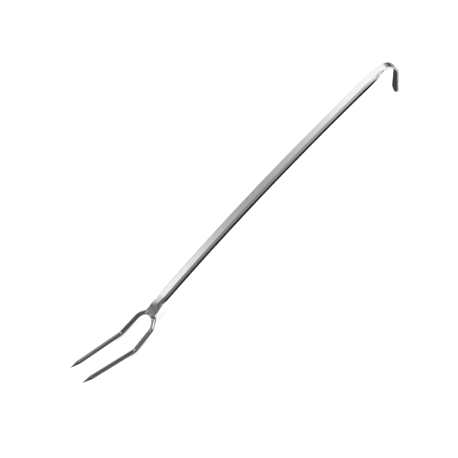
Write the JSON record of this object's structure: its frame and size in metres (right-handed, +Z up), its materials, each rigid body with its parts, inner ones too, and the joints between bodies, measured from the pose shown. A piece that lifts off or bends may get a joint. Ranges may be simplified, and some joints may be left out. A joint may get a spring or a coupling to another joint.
{
  "type": "meat_fork",
  "caption": "Long meat fork: a bowed channel-section strip handle with a hanging hook, its neck welded to a bent round wire whose ends rise into pointed tines",
  "frame": {"origin": "middle of the overall length and width, on the surface that the fork lies on", "axes": "+X runs along the fork from the points to the hook, +Y to the left seen from the hook, +Z up, out of the face of the handle"},
  "size_m": [0.5014, 0.04, 0.0445],
  "materials": {
    "strip_steel": "fine crosswise grain, satin",
    "wire_steel": "polished",
    "weld_steel": "low round crowns, satin"
  },
  "bodies": {
    "root": {"handle": "strip_steel", "tine_wire": "wire_steel", "neck_welds": "weld_steel"}
  },
  "joints": []
}
